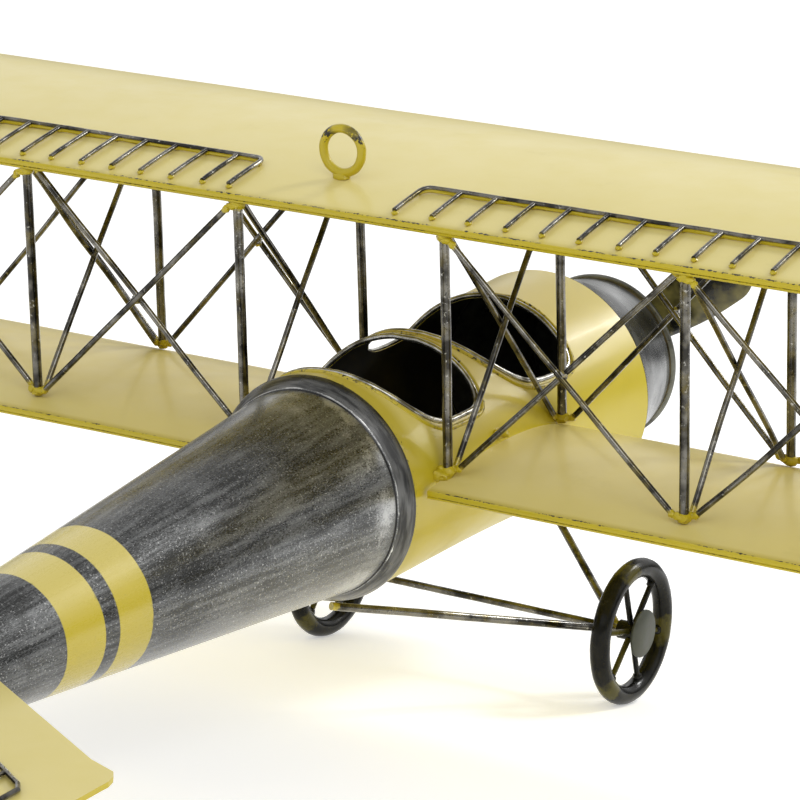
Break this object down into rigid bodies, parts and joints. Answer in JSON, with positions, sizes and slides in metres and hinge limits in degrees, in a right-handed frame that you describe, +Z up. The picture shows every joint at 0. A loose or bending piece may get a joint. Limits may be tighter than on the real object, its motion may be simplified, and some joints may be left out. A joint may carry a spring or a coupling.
{
  "type": "propeller plane model",
  "caption": "Sheet-metal biplane model with wire-braced wings, open cockpits, a long tail cone, a propeller that spins and wheels that roll.",
  "frame": {"origin": "on the ground in the middle of the bounding box, under the wings", "axes": "+X along the span towards the aircraft's left wing tip, -Y towards the propeller, +Z up"},
  "size_m": [0.594, 0.6044, 0.2369],
  "materials": {
    "yellow_paint": "satin cream-yellow paint, worn to dark metal along its edges",
    "dark_wire": "dark blotchy gunmetal",
    "brushed_gunmetal": "streaky brushed gunmetal",
    "wheel_metal": "dark grey-green, half glossy",
    "propeller_paint": "glossy khaki with black patches"
  },
  "bodies": {
    "airframe": {"aileron_grille_left": "dark_wire", "aileron_grille_right": "dark_wire", "cross_axle": "dark_wire", "elevator_grille_left": "dark_wire", "elevator_grille_right": "dark_wire", "engine_cowl": "brushed_gunmetal", "fin_and_rudder": "yellow_paint", "fuselage_body": "yellow_paint", "hanging_ring": "yellow_paint", "leg_front_left": "dark_wire", "leg_front_right": "dark_wire", "leg_rear_left": "dark_wire", "leg_rear_right": "dark_wire", "lower_wing_left": "yellow_paint", "lower_wing_right": "yellow_paint", "propeller_shaft": "brushed_gunmetal", "radial_engine": "brushed_gunmetal", "strut_front_left_1": "dark_wire", "strut_front_left_2": "dark_wire", "strut_front_left_3": "dark_wire", "strut_front_right_1": "dark_wire", "strut_front_right_2": "dark_wire", "strut_front_right_3": "dark_wire", "strut_rear_left_1": "dark_wire", "strut_rear_left_2": "dark_wire", "strut_rear_left_3": "dark_wire", "strut_rear_right_1": "dark_wire", "strut_rear_right_2": "dark_wire", "strut_rear_right_3": "dark_wire", "tail_cone": "brushed_gunmetal", "tail_skid": "dark_wire", "tailplane": "yellow_paint", "upper_wing": "yellow_paint", "wire_front_left_1a": "dark_wire", "wire_front_left_1b": "dark_wire", "wire_front_left_2a": "dark_wire", "wire_front_left_2b": "dark_wire", "wire_front_right_1a": "dark_wire", "wire_front_right_1b": "dark_wire", "wire_front_right_2a": "dark_wire", "wire_front_right_2b": "dark_wire", "wire_rear_left_1a": "dark_wire", "wire_rear_left_1b": "dark_wire", "wire_rear_left_2a": "dark_wire", "wire_rear_left_2b": "dark_wire", "wire_rear_right_1a": "dark_wire", "wire_rear_right_1b": "dark_wire", "wire_rear_right_2a": "dark_wire", "wire_rear_right_2b": "dark_wire", "wire_side_left_1a": "dark_wire", "wire_side_left_1b": "dark_wire", "wire_side_left_2a": "dark_wire", "wire_side_left_2b": "dark_wire", "wire_side_right_1a": "dark_wire", "wire_side_right_1b": "dark_wire", "wire_side_right_2a": "dark_wire", "wire_side_right_2b": "dark_wire"},
    "propeller": {"propeller": "propeller_paint"},
    "wheel_left": {"wheel_left": "wheel_metal"},
    "wheel_right": {"wheel_right": "wheel_metal"}
  },
  "joints": [
    {"name": "propeller_spin", "type": "hinge", "parent": "airframe", "child": "propeller", "pos_m": [0, -0.29174, 0.13198], "axis": [0, -0.9854, 0.1702], "continuous": true},
    {"name": "left_wheel_spin", "type": "hinge", "parent": "airframe", "child": "wheel_left", "pos_m": [0.0752, -0.18654, 0.0313], "axis": [1, 0, 0], "continuous": true},
    {"name": "right_wheel_spin", "type": "hinge", "parent": "airframe", "child": "wheel_right", "pos_m": [-0.0752, -0.18654, 0.0313], "axis": [1, 0, 0], "continuous": true}
  ]
}
